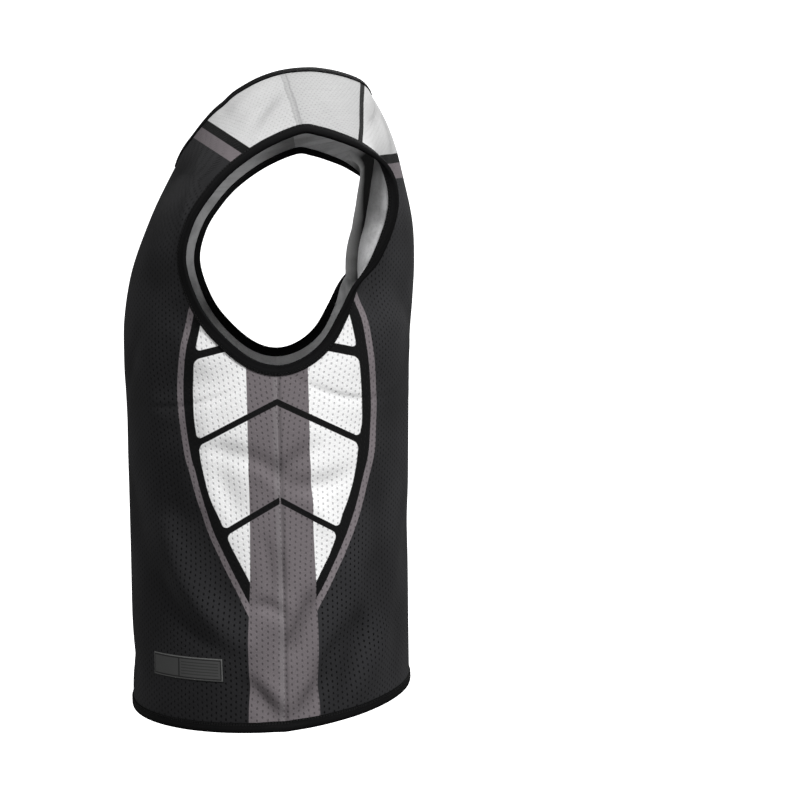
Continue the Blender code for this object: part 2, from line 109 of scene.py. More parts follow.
# Soft ridges (depth above 0) and troughs on each face of the worn jersey. A fold runs straight
# between two points: across_1, z_1, across_2, z_2, width, depth. A crease bends toward a third
# and fades at its ends: across_1, z_1, across_2, z_2, across_3, z_3, width, depth.
FOLDS = {
    "left": (
        (-142, -180, -104, -232, 15, -3.5), (-122, -205, -92, -262, 17, 2.5),
        (-96, -430, -60, -500, 16, -3.0), (-62, -560, -12, -520, 18, 2.5), (2, -548, 18, -512, 13, -3.0),
        (36, -580, 66, -540, 16, -3.5), (-42, -596, -10, -622, 13, -3.0), (78, -250, 104, -330, 20, -2.5)),
    "right": (
        (-138, -190, -100, -246, 16, -3.5), (-96, -548, -34, -582, 18, -4.0),
        (-8, -530, 22, -566, 14, -3.0), (48, -560, 82, -596, 16, -3.5), (84, -236, 100, -318, 20, -2.5)),
    "front": (
        (-96, -330, -52, -430, 22, -3.0), (66, -418, 116, -505, 24, -3.0), (-20, -560, 42, -606, 20, -2.5)),
    "back": (
        (-78, -70, -34, -24, 16, -3.0), (78, -70, 34, -24, 16, -3.0), (-88, -300, -36, -392, 24, -3.0),
        (40, -450, 104, -540, 24, -3.5)),
}
CREASES = {
    "left": (
        (-92, -50, -100, -90, -112, -140, 4, 2.6), (40, 10, 52, -12, 68, -34, 7, 2.6),
        (78, 4, 88, -20, 96, -50, 8, -3.0), (-20, -385, -2, -362, 22, -352, 9, -3.0),
        (-88, -352, -40, -360, 0, -386, 10, -3.6), (-84, -366, -66, -392, -50, -420, 13, -2.6),
        (-26, -446, -18, -476, -20, -506, 6, -2.8), (-126, -440, -112, -512, -48, -552, 14, 7.0),
        (-136, -494, -116, -540, -66, -562, 9, -3.5), (-146, -250, -140, -330, -126, -400, 14, 3.0),
        (118, -490, 106, -552, 66, -610, 13, 4.5), (2, -390, 30, -392, 58, -378, 10, -3.2),
        (-48, -366, -30, -376, -14, -396, 8, 2.6), (8, -400, 26, -412, 40, -440, 9, 2.8),
        (-36, -512, -22, -508, -6, -524, 7, -4.8), (-6, -562, 2, -540, 24, -498, 7, -3.5),
        (28, -582, 40, -562, 52, -544, 8, -3.0), (78, -484, 72, -551, 50, -608, 9, -4.5),
        (-12, -458, -8, -478, -10, -500, 5, -2.4), (-44, -590, -30, -604, -16, -626, 7, -3.0),
        (6, -626, 16, -604, 32, -586, 8, -6.0), (-26, -588, -16, -600, -6, -616, 7, 3.0),
        (-66, -18, -50, -2, -30, 10, 6, 2.4), (-40, -32, -28, -12, -14, 2, 6, -2.2),
        (28, 2, 42, -18, 54, -34, 6, 2.4), (-132, -340, -120, -420, -104, -480, 14, -3.5),
        (-90, -300, -84, -380, -70, -440, 12, 2.2), (88, -380, 96, -450, 90, -520, 14, -3.5),
        (60, -470, 72, -520, 92, -560, 10, 2.6)),
    "right": (
        (-20, -380, 0, -366, 24, -358, 9, -3.0), (-120, -490, -100, -540, -50, -580, 15, 5.5),
        (110, -480, 90, -536, 46, -570, 14, 5.0), (-46, -372, -28, -384, -12, -404, 8, 2.6),
        (-2, -556, 10, -534, 18, -512, 7, 3.5), (32, -574, 50, -556, 68, -540, 8, 3.0),
        (-44, -598, -26, -608, -10, -624, 7, 3.2), (-134, -330, -118, -410, -106, -486, 14, -3.5),
        (86, -372, 98, -440, 92, -512, 14, -3.2)),
    "front": (
        (-130, -240, -96, -290, -60, -320, 12, -3.2), (128, -236, 92, -280, 54, -306, 12, -3.2),
        (-70, -500, -30, -540, 4, -600, 14, -3.2), (30, -200, 24, -260, 34, -330, 16, -2.2),
        (-36, -150, -30, -210, -42, -270, 14, 1.9)),
    "back": (
        (160, -125, 154, -160, 150, -206, 20, -10.0), (-160, -125, -155, -160, -150, -206, 20, -10.5),
        (-120, -180, -84, -220, -40, -246, 14, -2.9), (118, -176, 80, -214, 34, -238, 14, -2.9),
        (-20, -300, -28, -400, -16, -500, 18, -2.9), (60, -250, 74, -340, 66, -420, 16, 2.2),
        (-100, -430, -60, -500, -50, -590, 16, 2.6)),
}
CREASE_STEPS = 24
FACE_AXES = {"left": (1, 0, 1), "right": (1, 0, -1), "front": (0, 1, -1), "back": (0, 1, 1)}

# Print on each panel, laid out flat on the wearer's side: heights, and reach behind the middle.
# Outside in: a grey line, a black frame, white fields parted by chevrons, and a grey stripe. The
# flat layout is the side as it looks, square on, from LAYOUT_REACH off the jersey's middle.
LAYOUT_REACH = 2150
LINE_WIDTH = 6.8
FIELD_CORNER = 6.0
PRINT_TOP = -25
STRAP_MARK_REACH, STRAP_MARK_TOP, STRAP_MARK_SLOPE, STRAP_MARK_WIDTH = 95.3, 186.5, 0.031, 4.7
Print = namedtuple("Print", "line fields stripe chevrons yoke bands")
FRONT_PRINT = Print(
    line=((60, -46), (-38, -79), (-58, -90.5), (-108, -100), (-144, -103), (-179, -101), (-220, -95),
          (-236, -90.5), (-266, -82.5), (-303, -71.5), (-337, -56.5), (-366, -42), (-396, -26), (-423, -11),
          (-489, 31)),
    fields=((-55, -72.5), (-76, -78), (-98, -81.5), (-117, -84), (-144, -85.5), (-175, -84.5), (-191, -82.5),
            (-214, -79), (-236, -75), (-266, -67), (-290, -56.5), (-318, -45.5), (-337, -36), (-358, -25),
            (-386, -11)),
    stripe=((-120, -28.5), (-175, -27), (-225, -26), (-274, -24.5), (-318, -24), (-362, -24), (-396, -25),
            (-511, -25.5)),
    chevrons=((-83.8, -92.3, 0.254), (-159.7, -166.9, 0.522), (-270.1, -278.0, 0.60)),
    yoke=(100.6, -0.66), bands=(9.8, 14.3))
BACK_PRINT = Print(
    line=((-5, 64), (-33, 88), (-49.5, 96.5), (-71.5, 105.5), (-108, 113), (-153, 115.5), (-182, 114.5),
          (-220, 111.5), (-247, 105.5), (-282, 96.5), (-315, 85), (-350, 70), (-391, 51), (-423, 36)),
    fields=((-38, 69), (-54, 80.5), (-95, 92), (-117, 96), (-153, 98), (-182, 98), (-191, 96.5),
            (-214, 93.5), (-238, 91), (-266, 83.5), (-287, 76), (-323, 65), (-341, 57), (-359, 48.5),
            (-386, 36)),
    stripe=((-120, 39), (-176, 40.5), (-225, 42), (-266, 44), (-318, 46), (-362, 48.5), (-396, 50.5),
            (-509, 53)),
    chevrons=((-81.7, -92.1, -0.202), (-154.3, -161.9, -0.466), (-260.4, -267.6, -0.536)),
    yoke=(94.6, 0.13), bands=(10.4, 17.0))


def smooth_table(rows, place):
    """Value at a place along a table's rows, on a smooth curve through them."""
    rows = np.asarray(rows, float)
    before = min(int(place), len(rows) - 2)
    part = place - before
    rows = np.concatenate(([3 * (rows[0] - rows[1]) + rows[2]], rows,
                           [3 * (rows[-1] - rows[-2]) + rows[-3]]))
    leave, first, final, arrive = rows[before:before + 4]
    return (first * (2 * part ** 3 - 3 * part ** 2 + 1)
            + (final - leave) / 2 * (part ** 3 - 2 * part ** 2 + part)
            + final * (3 * part ** 2 - 2 * part ** 3)
            + (arrive - first) / 2 * (part ** 3 - part ** 2))


def smooth_edge(edge):
    """The same printed edge with its bends rounded, in finely spaced heights and reaches."""
    places = np.linspace(0, len(edge) - 1, 12 * len(edge))
    return np.array(sorted(tuple(smooth_table(edge, place)) for place in places))


def neck_point(angle):
    """Point on the neck edge at an angle round it, in degrees from the front centre."""
    places = np.interp(angle, [row[0] for row in NECK_HEIGHTS], range(len(NECK_HEIGHTS)))
    turned = math.radians(angle)
    return (NECK_HALF_WIDTH * math.sin(turned), NECK_CENTRE_Y - NECK_HALF_DEPTH * math.cos(turned),
            float(smooth_table([row[1] for row in NECK_HEIGHTS], places)))


def heading(turn, drop):
    turned, dropped = math.radians(turn), math.radians(drop)
    return np.array((math.cos(dropped) * math.cos(turned), math.cos(dropped) * math.sin(turned),
                     -math.sin(dropped)))


def length_along(points, axis=0):
    """Distance run along an axis of a grid of points, from its first point."""
    steps = np.linalg.norm(np.diff(points, axis=axis), axis=-1)
    start = np.zeros_like(np.take(steps, [0], axis=axis))
    return np.concatenate((start, np.cumsum(steps, axis=axis)), axis=axis)


def spots_along(points, run, stops):
    """Points at given distances along a line of points."""
    return np.stack([np.interp(stops, run, column) for column in points.T], axis=-1)


def drawn_half(sections, other_sections):
    """Grid of points over the left half of a panel, and the rows of its underarm and neck corner."""
    starts = [section.start for section in sections]
    corner = next(row for row, start in enumerate(starts) if not isinstance(start, tuple))
    centre_line = starts[:corner] + [neck_point(starts[corner])]
    armhole = ([other_sections[UNDERARM + 1].end] + [section.end for section in sections[UNDERARM:]]
               + [other_sections[-2].end])

    def start(place):
        if place < corner:
            return smooth_table(centre_line, place)
        return np.array(neck_point(float(smooth_table(starts[corner:], place - corner))))

    def end(place):
        if place < UNDERARM:
            return smooth_table(SIDE_SEAM, place)
        return smooth_table(armhole, place - UNDERARM + 1)

    def even_places(low, high, count):
        fine = np.linspace(low, high, 240)
        run = length_along(np.array([end(place) for place in fine]))
        return np.interp(np.linspace(0, run[-1], count + 1), run, fine)

    places = np.concatenate((even_places(0, UNDERARM, BODY_ROWS)[:-1],
                             even_places(UNDERARM, corner, ARMHOLE_ROWS)[:-1],
                             even_places(corner, len(sections) - 1, STRAP_ROWS)))
    part = np.linspace(0, 1, 240)[:, None]
    crowded = np.cumsum(np.concatenate(([0], 1 - 0.5 * np.linspace(0, 1, COLUMNS) ** 2)))
    rows = []
    for place in places:
        leave = smooth_table([section.leave for section in sections], place)
        arrive = smooth_table([section.arrive for section in sections], place)
        first, final = start(place), end(place)
        handles = (first, first + heading(*leave[:2]) * leave[2],
                   final - heading(*arrive[:2]) * arrive[2], final)
        curve = sum(handle * math.comb(3, power) * part ** power * (1 - part) ** (3 - power)
                    for power, handle in enumerate(handles))
        run = length_along(curve)
        rows.append(spots_along(curve, run, crowded / crowded[-1] * run[-1]))
    return np.array(rows)


class Half:
    """Placed half of a panel: its points, their normals and where each lies in the flat cloth.

    The hem hangs 4 mm lower than the form's at the back and sides, and 10 mm at the front."""

    def __init__(self, drawn, on_left, is_front, printed):
        low = np.clip((HEM_FALL_TOP - drawn[..., 2]) / HEM_FALL_REACH, 0, 1) ** 2
        fall = low * (4 + 6 * np.clip((-drawn[..., 1] - 20) / 140, 0, 1))
        self.points = drawn * ((1 if on_left else -1), 1, 1) - fall[..., None] * (0, 0, 1)
        self.faces_in = on_left != is_front
        girth, rise = length_along(drawn, 1), length_along(drawn, 0)
        side = 1 if is_front else -1
        scale = LAYOUT_REACH / (LAYOUT_REACH - np.abs(drawn[..., 0]))
        reach, height = (drawn[..., 1] + 20) * scale, (drawn[..., 2] + 160) * scale

        def inside(edge):
            """Distance in from a printed edge, square to it."""
            edge = smooth_edge(edge)
            here, above = (np.interp(height + step, edge[:, 0], edge[:, 1]) for step in (0, 6))
            return (reach - here) * side / np.hypot(1, (above - here) / 6)

        self.maps = {
            "layout": np.stack((reach, height), -1),
            "cloth": np.stack((girth, drawn[..., 2]), -1),
            "frame": np.stack((inside(printed.line), inside(printed.fields)), -1),
            "stripe": np.stack((-inside(printed.stripe), (girth[:, -1:] - girth) * side), -1),
            "shoulder": np.stack(((rise[-1] - rise) * side, 0 * rise), -1),
        }
        self.from_edge, self.scale = girth[:, -1:] - girth, scale

    def map_lapel(self):
        """Keep the distance past the crest where the armhole edge turns out, and how far it turns."""
        from_edge, reach = self.from_edge, self.points[..., 1] * self.scale
        near = np.where(from_edge < 90, reach, 1e9)
        crest = near.argmin(1)
        turned = reach[:, -1] - near.min(1)
        past = from_edge - np.take_along_axis(from_edge, crest[:, None], 1)
        share = np.clip(turned / 7, 0, 1)[:, None] * np.ones_like(past)
        self.maps["lapel"] = np.stack((past, share), -1)

    def cell_normals(self):
        grid = self.points
        normals = np.cross(grid[1:, 1:] - grid[:-1, :-1], grid[1:, :-1] - grid[:-1, 1:])
        return -normals if self.faces_in else normals


def share_normals(halves):
    """Give each point its unit normal, the same on both sides of a seam."""
    spots = np.concatenate([half.points.reshape(-1, 3) for half in halves])
    sums = []
    for half in halves:
        total = np.zeros_like(half.points)
        cells = half.cell_normals()
        for rows, columns in ((slice(1, None), slice(1, None)), (slice(1, None), slice(None, -1)),
                              (slice(None, -1), slice(1, None)), (slice(None, -1), slice(None, -1))):
            total[rows, columns] += cells
        sums.append(total.reshape(-1, 3))
    spots, one = np.unique(np.round(spots, 3) + 0.0, axis=0, return_inverse=True)
    shared = np.zeros_like(spots)
    np.add.at(shared, one.ravel(), np.concatenate(sums))
    shared = (shared / np.linalg.norm(shared, axis=1)[:, None])[one.ravel()]
    for number, half in enumerate(halves):
        size = half.points[..., 0].size
        half.normals = shared[number * size:(number + 1) * size].reshape(half.points.shape)


def add_folds(halves):
    """Move the cloth along its normals into the folds and creases."""
    bend = np.linspace(0, 1, CREASE_STEPS + 1)[:, None]
    for half in halves:
        lift = np.zeros(half.points.shape[:2])
        for face, (across_axis, facing_axis, sign) in FACE_AXES.items():
            facing = np.clip(half.normals[..., facing_axis] * sign * 2.5 - 0.4, 0, 1)
            here = half.points[..., (across_axis, 2)]
            for *ends, width, depth in FOLDS[face]:
                start, along = np.array(ends[:2]), np.subtract(ends[2:], ends[:2])
                part = np.clip((here - start) @ along / (along @ along), 0, 1)
                distance = np.linalg.norm(here - start - part[..., None] * along, axis=-1)
                lift += depth * facing * np.exp(-(distance / width) ** 2)
            for *ends, width, depth in CREASES[face]:
                first, middle, final = np.reshape(ends, (3, 2))
                line = first * (1 - bend) ** 2 + middle * 2 * bend * (1 - bend) + final * bend ** 2
                apart = np.linalg.norm(here[:, :, None] - line, axis=-1)
                taper = np.sin(math.pi * (0.12 + 0.76 * apart.argmin(-1) / CREASE_STEPS))
                lift += depth * facing * taper * np.exp(-(apart.min(-1) / width) ** 2)
        half.points = half.points + half.normals * lift[..., None]
        half.maps["shoulder"][..., 1] = lift
        half.map_lapel()


def made_mesh(name, spots, faces, maps):
    """Object from points in millimetres, its faces, and flat places to texture by."""
    mesh = bpy.data.meshes.new(name)
    mesh.from_pydata((spots * MM).tolist(), [], faces)
    corners = np.empty(len(mesh.loops), int)
    mesh.loops.foreach_get("vertex_index", corners)
    for label, places in maps.items():
        layer = mesh.uv_layers.new(name=label)
        layer.uv.foreach_set("vector", places[corners].astype(np.float32).ravel())
    mesh.shade_smooth()
    made = bpy.data.objects.new(name, mesh)
    bpy.context.collection.objects.link(made)
    return made


def grid_faces(numbers):
    """Four-sided faces between the points of a numbered grid."""
    low, high = numbers[:-1], numbers[1:]
    return np.stack((low[:, :-1], low[:, 1:], high[:, 1:], high[:, :-1]), -1).reshape(-1, 4)


def shell_faces(rows, columns, turned=False, open_end=0):
    """Faces of two like grids, the second behind the first, and of the walls round their edge.

    The last points of the edge can stay open, where the shell is joined to its other half."""
    numbers = np.arange(rows * columns).reshape(rows, columns)
    skin = grid_faces(numbers)
    edge = np.concatenate((numbers[0], numbers[1:, -1], numbers[-1, -2::-1], numbers[-2::-1, 0]))
    edge = edge[:edge.size - open_end]
    walls = np.stack((edge[1:], edge[:-1], edge[:-1] + numbers.size, edge[1:] + numbers.size), -1)
    if turned:
        skin, walls = skin[:, ::-1], walls[:, ::-1]
    return np.concatenate((skin, skin[:, ::-1] + numbers.size, walls))


def panel_shell(name, halves, out, back):
    """Thin shell of cloth over both halves of a panel, between two distances from the form."""
    spots, faces, maps = [], [], {}
    for half in halves:
        neck = np.flatnonzero(np.abs(half.points[:, 0, 0]) > 0.01)[0] - 1
        count = sum(map(len, spots))
        faces += (shell_faces(*half.points.shape[:2], half.faces_in, neck) + count).tolist()
        for distance in (out, back):
            spots.append((half.points + half.normals * distance).reshape(-1, 3))
            for label, places in half.maps.items():
                maps.setdefault(label, []).append(places.reshape(-1, 2))
    made = made_mesh(name, np.concatenate(spots), faces,
                     {label: np.concatenate(parts) for label, parts in maps.items()})
    weld = made.modifiers.new("weld", "WELD")
    weld.merge_threshold = 0.00002
    bpy.context.view_layer.objects.active = made
    made.select_set(True)
    bpy.ops.object.modifier_apply(modifier="weld")
    made.select_set(False)
    made.data.set_sharp_from_angle(angle=math.radians(60))
    return made


class Wire:
    """A socket's output, which takes part in sums as a number does."""

    def __init__(self, tree, socket):
        self.tree, self.socket = tree, socket

    def maths(self, operation, first, second=0.0):
        return Finish.node_in(self.tree, "ShaderNodeMath", {"operation": operation}, {0: first, 1: second})

    def __add__(self, other):
        return self.maths("ADD", self, other)

    __radd__ = __add__

    def __mul__(self, other):
        return self.maths("MULTIPLY", self, other)

    __rmul__ = __mul__

    def __sub__(self, other):
        return self.maths("SUBTRACT", self, other)

    def __rsub__(self, other):
        return self.maths("SUBTRACT", other, self)

    def __truediv__(self, other):
        return self.maths("DIVIDE", self, other)

    def __abs__(self):
        return self.maths("ABSOLUTE", self)

    def least(self, other):
        return self.maths("MINIMUM", self, other)

    def most(self, other):
        return self.maths("MAXIMUM", self, other)

    def root(self):
        return self.maths("SQRT", self)

    def floor(self):
        return self.maths("FLOOR", self)

    def fraction(self):
        return self.maths("FRACT", self)

    def share(self):
        """The value held between 0 and 1."""
        return self.most(0).least(1)

    def above(self, edge=0.0, softness=0.6):
        """1 where the value is above an edge and 0 below it, with a soft step between."""
        return ((self - edge) / softness + 0.5).share()


class Finish:
    """A material under construction, with one shader."""

    def __init__(self, name, **constants):
        self.material = bpy.data.materials.new(name)
        self.material.use_nodes = True
        self.tree = self.material.node_tree
        self.shader = self.tree.nodes["Principled BSDF"]
        for socket, value in constants.items():
            self.shader.inputs[socket.replace("_", " ")].default_value = value

    @staticmethod
    def node_in(tree, kind, settings, values, output=0):
        made = tree.nodes.new(kind)
        for setting, value in settings.items():
            if setting == "stops":
                while len(made.color_ramp.elements) < len(value):
                    made.color_ramp.elements.new(1.0)
                for stop, (place, grey) in zip(made.color_ramp.elements, value):
                    stop.position, stop.color = place, (grey, grey, grey, 1)
            else:
                setattr(made, setting, value)
        for socket, value in values.items():
            if isinstance(value, Wire):
                tree.links.new(value.socket, made.inputs[socket])
            else:
                made.inputs[socket].default_value = value
        return Wire(tree, made.outputs[output])

    def node(self, kind, settings=None, values=None, output=0):
        return self.node_in(self.tree, kind, settings or {}, values or {}, output)

    def flat_place(self, label):
        """The two numbers kept in one of a mesh's flat maps."""
        place = self.node("ShaderNodeUVMap", {"uv_map": label})
        return [self.node("ShaderNodeSeparateXYZ", {}, {0: place}, part) for part in (0, 1)]

    def noise(self, first, second, scale, detail=2.0, roughness=0.5):
        place = self.node("ShaderNodeCombineXYZ", {}, {0: first, 1: second})
        return self.node("ShaderNodeTexNoise", {}, {"Vector": place, "Scale": scale, "Detail": detail,
                                                    "Roughness": roughness})

    def grain(self, scale, detail):
        """Noise in the object's own space."""
        place = self.node("ShaderNodeTexCoord", {}, {}, 3)
        return self.node("ShaderNodeTexNoise", {}, {"Vector": place, "Scale": scale, "Detail": detail})

    def blend(self, share, first, second):
        """One colour turning into another by a share."""
        return self.node("ShaderNodeMix", {"data_type": "RGBA"},
                         {0: share, 6: self.colour(first), 7: self.colour(second)}, 2)

    def coat(self, colour, *layers):
        """A colour with others laid over it in turn, each by its share."""
        for share, over in layers:
            colour = self.blend(share, colour, over)
        return colour

    @staticmethod
    def colour(value):
        """A wire as it is, or a colour from one grey or three numbers."""
        if isinstance(value, Wire):
            return value
        return (value, value, value, 1) if isinstance(value, float) else (*value, 1)

    def feed(self, **sockets):
        for socket, value in sockets.items():
            self.tree.links.new(value.socket, self.shader.inputs[socket.replace("_", " ")])

    def bump(self, height, strength, distance):
        return self.node("ShaderNodeBump", {},
                         {"Height": height, "Strength": strength, "Distance": distance})


def eyelets(girth, height, across, pitch, half_width, half_height):
    """Net of small oval holes in staggered columns, 1 in each hole."""
    column = girth / across
    stagger = (column.floor() * 0.5).fraction()
    sideways = (column.fraction() - 0.5) * (across / half_width)
    upward = ((height / pitch + stagger).fraction() - 0.5) * (pitch / half_height)
    return 1 - (sideways * sideways + upward * upward).root().above(1.0, 0.55)


def ribs(run, pitch):
    """0 in the middle of each rib of the knit and 1 between two."""
    part = (run / pitch).fraction() - 0.5
    return part * part * 4


Tones = namedtuple("Tones", "ground ground_hole field field_hole grey grey_hole yoke yoke_hole line lining")
DARK_TONES = Tones((0.0182, 0.0182, 0.0194), (0.0012, 0.0012, 0.0014), 0.90, (0.56, 0.56, 0.57),
                   (0.205, 0.182, 0.193), (0.115, 0.102, 0.108), 0.48, 0.38, (0.0064, 0.0064, 0.0067), None)
# The back's tones: its black painted a little paler and its yoke darker, painted light and shade
DARK_BACK_TONES = DARK_TONES._replace(ground=(0.0228, 0.0228, 0.0243), yoke=0.40, yoke_hole=0.31)


def net_cloth(name, printed, is_front, tones):
    """Printed net: which ink lies where, the eyelets, the knit between them and the seams."""
    finish = Finish(name, Roughness=0.78, Specular_IOR_Level=0.07, Sheen_Weight=0.02, Sheen_Roughness=0.5)
    reach, height = finish.flat_place("layout")
    girth, rise = finish.flat_place("cloth")
    from_line, from_fields = finish.flat_place("frame")
    from_stripe, from_seam = finish.flat_place("stripe")
    from_shoulder, raised = finish.flat_place("shoulder")
    past_crest, turned_out = finish.flat_place("lapel")

    # Side design. Each chevron is a bar, given as the distance out from its edge
    bars = []
    for top, bottom, slope in printed.chevrons:
        from_middle = abs(height - reach * slope - (top + bottom) / 2)
        bars.append((from_middle - (top - bottom) / 2) / math.hypot(1, slope))
    nearest = bars[0].least(bars[1]).least(bars[2])
    gap_1, gap_2 = (FIELD_CORNER - from_fields).most(0), (FIELD_CORNER - nearest).most(0)
    below_top = 1 - height.above(PRINT_TOP)
    in_panel = from_line.above() * below_top
    past_line = (from_line - LINE_WIDTH).above()
    in_frame = past_line * below_top
    field = (FIELD_CORNER - (gap_1 * gap_1 + gap_2 * gap_2).root()).above() * in_panel
    stripe = (1 - from_stripe.above()) * below_top
    parted = 1 - (1 - abs(from_seam).above(0.7, 0.7)) * (1 - bars[2].above())
    chevron = (1 - bars[1].least(bars[2]).above()) * in_frame.most(stripe) * parted

    # Yoke, with an edge and a grey band below it
    level, slope = printed.yoke
    edge_depth, band_depth = printed.bands
    over = (height - reach * slope - level) / math.hypot(1, slope)
    yoke, in_edge = over.above(), (over + edge_depth).above()
    band = (1 - in_edge) * (over + edge_depth + band_depth).above()

    # Eyelets: large on the body, small on the yoke and faint high in the lining
    wander = finish.noise(girth, rise, 0.02, 1.0)
    large = eyelets(girth + wander * 3, rise + wander * 2, across=5.5, pitch=5.8, half_width=0.85,
                    half_height=1.25)
    small = eyelets(girth, abs(from_shoulder), across=4.7, pitch=4.7, half_width=0.75, half_height=0.8)
    uneven = (0.62 + finish.noise(girth, rise, 0.03, 2.0) * 0.6).least(1)
    holes = (large * (1 - yoke) + small * yoke) * uneven
    # High inside, where the light ply is painted plain grey as shade
    upper = ((height + 205) / 70).share()
    if tones.lining:
        holes = holes * (1 - upper * 0.75)

    # Seams: an overlocked strip on the shoulder; at the side a pale lip, a painted highlight, and soft
    # painted shade beside it
    wavy = from_shoulder + girth * 0.022 - 2.2 + (finish.noise(girth, 0.0, 0.05, 1.0) - 0.5) * 4
    strip = (wavy + 3.2).above(0, 1.4) * (1 - (wavy - 3.0).above(0, 1.4)) * yoke
    strip_edges = ((1 - abs(wavy + 2.6) / 1.5).most(0) + (1 - abs(wavy - 2.6) / 1.2).most(0) * 0.5) * yoke
    side_strip = from_seam.above(0.2, 0.8) * (1 - from_seam.above(5.0, 2.4))
    side_lip = (1 - abs(from_seam - 0.5) / 0.9).most(0)
    side_shade = (1 - abs(from_seam + 2.6) / 3.0).most(0)

    def ink(solid, hole):
        return finish.blend(holes, solid, hole)

    ground, grey = ink(tones.ground, tones.ground_hole), ink(tones.grey, tones.grey_hole)
    if not tones.lining:
        # The light ply shows through the net where the plies lie close
        close = ((finish.noise(girth, rise, 0.012, 1.0) - 0.38) * 4).share()
        ground = finish.blend(close * 0.8, ground, ink(np.multiply(tones.ground, 1.5), tones.ground_hole))
    colour = finish.coat(
        ground, (in_panel * (1 - past_line), grey), ((1 - yoke) * in_edge, tones.line),
        (band, np.multiply(tones.grey, 0.8)), (in_frame, tones.line),
        (field, ink(tones.field, tones.field_hole)), (stripe, grey), (stripe * 0.2, 0.02),
        (stripe * side_strip * 0.08, 0.5), (stripe * side_lip * 0.06, 0.6),
        (stripe * side_shade * 0.34, 0.02), (chevron, tones.line),
        (yoke, ink(tones.yoke, tones.yoke_hole)), ((strip * 0.38 + strip_edges * 0.3).least(1), 0.24))
    if is_front:
        # Painted light: the front of the yoke paler the further it runs from the shoulder seam
        fade = (from_shoulder / 115).share() * yoke * (1 - strip)
        colour = finish.blend(fade * 0.5, colour, np.minimum(np.multiply(tones.yoke, 1.9), 1))
    else:
        # A narrow mark down the strap, with the cloth beyond it painted paler on the dark ply as painted
        # light
        past_mark = reach - STRAP_MARK_REACH + (STRAP_MARK_TOP - height) * STRAP_MARK_SLOPE
        beyond = (past_mark - STRAP_MARK_WIDTH).above()
        if not tones.lining:
            colour = finish.blend(beyond * yoke * 0.5, colour, 0.62)
        colour = finish.blend(past_mark.above() * (1 - beyond) * yoke, colour, tones.line)
    if tones.lining:
        # Plain grey cloth round the armholes, a painted shade: darker painted shade on the flap that turns
        # out, painted light lower down, and painted shadow deep past its crest
        shadow = finish.blend((past_crest / 27).share(), 0.85, 0.012)
        deep = past_crest.above(1, 3) * turned_out * ((150 - past_crest) / 90).share()
        flap = (1 - past_crest.above(1, 4)) * turned_out * ((past_crest + 46) / 20).share()
        clouds = (finish.noise(girth, rise, 0.05, 3.0) - 0.42).most(0)
        colour = finish.coat(
            colour, (upper, ink(*tones.lining)), (upper * clouds * 1.8, 0.16),
            (upper * ((-70 - height) / 30).share() * 0.7, 0.95),
            (upper * flap * ((height - 5) / 45).share() * 0.85, 0.10), (upper * deep, shadow))
    # Painted shade in the troughs of the folds and creases
    colour = finish.blend((raised / -4.5).share() * 0.24, colour, 0.004)
    mottle = finish.noise(girth, rise, 0.6, 3.0, 0.6)
    speckle = finish.node("ShaderNodeValToRGB", {"stops": ((0.3, 0.86), (0.7, 1.0))}, {0: mottle})
    colour = finish.node("ShaderNodeMix", {"data_type": "RGBA", "blend_type": "MULTIPLY"},
                         {0: 1.0, 6: colour, 7: speckle}, 2)
    allowance = (from_seam / 1.4).share() * 0.3 + side_strip * 0.15 + strip * 0.35
    relief = holes * -1.2 - ribs(girth, 1.1) * 0.12 - ribs(rise, 1.3) * 0.1 + mottle * 0.25 + allowance
    finish.feed(Base_Color=colour, Normal=finish.bump(relief, 0.55, 0.0009),
                Roughness=0.84 - holes * 0.1 - stripe * 0.04)
    return finish.material


front_drawn = drawn_half(FRONT_SECTIONS, BACK_SECTIONS)
back_drawn = drawn_half(BACK_SECTIONS, FRONT_SECTIONS)
front_left, front_right = (Half(front_drawn, on_left, True, FRONT_PRINT) for on_left in (True, False))
back_left, back_right = (Half(back_drawn, on_left, False, BACK_PRINT) for on_left in (True, False))
quarters = (front_left, front_right, back_left, back_right)
share_normals(quarters)
add_folds(quarters)
share_normals(quarters)

Cut = namedtuple("Cut", "node halves printed flat area")
FRONT_CUT = Cut("front", (front_left, front_right), FRONT_PRINT, (0.593, 0.70), 0.336)
BACK_CUT = Cut("back", (back_left, back_right), BACK_PRINT, (0.561, 0.71), 0.328)


def hang_panel(ply, cut, out, back, tones):
    """Make one panel of a ply, print it, and put it in place of its part."""
    node = ply + "_" + cut.node
    cloth = panel_shell(node + "_cloth", cut.halves, out, back)
    cloth.data.materials.append(net_cloth(node + "_net", cut.printed, cut is FRONT_CUT, tones))
    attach(cloth, "root")
    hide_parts(node)


for cut, tones in ((FRONT_CUT, DARK_TONES), (BACK_CUT, DARK_BACK_TONES)):
    hang_panel("outer", cut, OUTER_FACE, OUTER_FACE - PANEL_SKIN, tones)

# ---------------- inner front and back panels
# The light ply: the same mesh and the same print with its tones the other way round, worn
# outside when the jersey is turned. Here it lines the dark ply, a hair's breadth inside it.
# Last, the lining tones: a grey and the grey of its holes, laid high inside round the yoke and armholes as
# painted shade over the print
LIGHT_TONES = Tones(0.74, (0.36, 0.36, 0.37), (0.017, 0.017, 0.018), 0.008, (0.185, 0.165, 0.178),
                    (0.095, 0.085, 0.09), (0.014, 0.014, 0.015), 0.008, 0.80,
                    ((0.43, 0.43, 0.435), (0.32, 0.32, 0.325)))
# The back's lining is painted paler, painted light on the flaps that turn out of the armholes
LIGHT_BACK_TONES = LIGHT_TONES._replace(lining=((0.80, 0.80, 0.81), 0.6))
for cut, tones in ((FRONT_CUT, LIGHT_TONES), (BACK_CUT, LIGHT_BACK_TONES)):
    hang_panel("inner", cut, PANEL_SKIN - OUTER_FACE, -OUTER_FACE, tones)

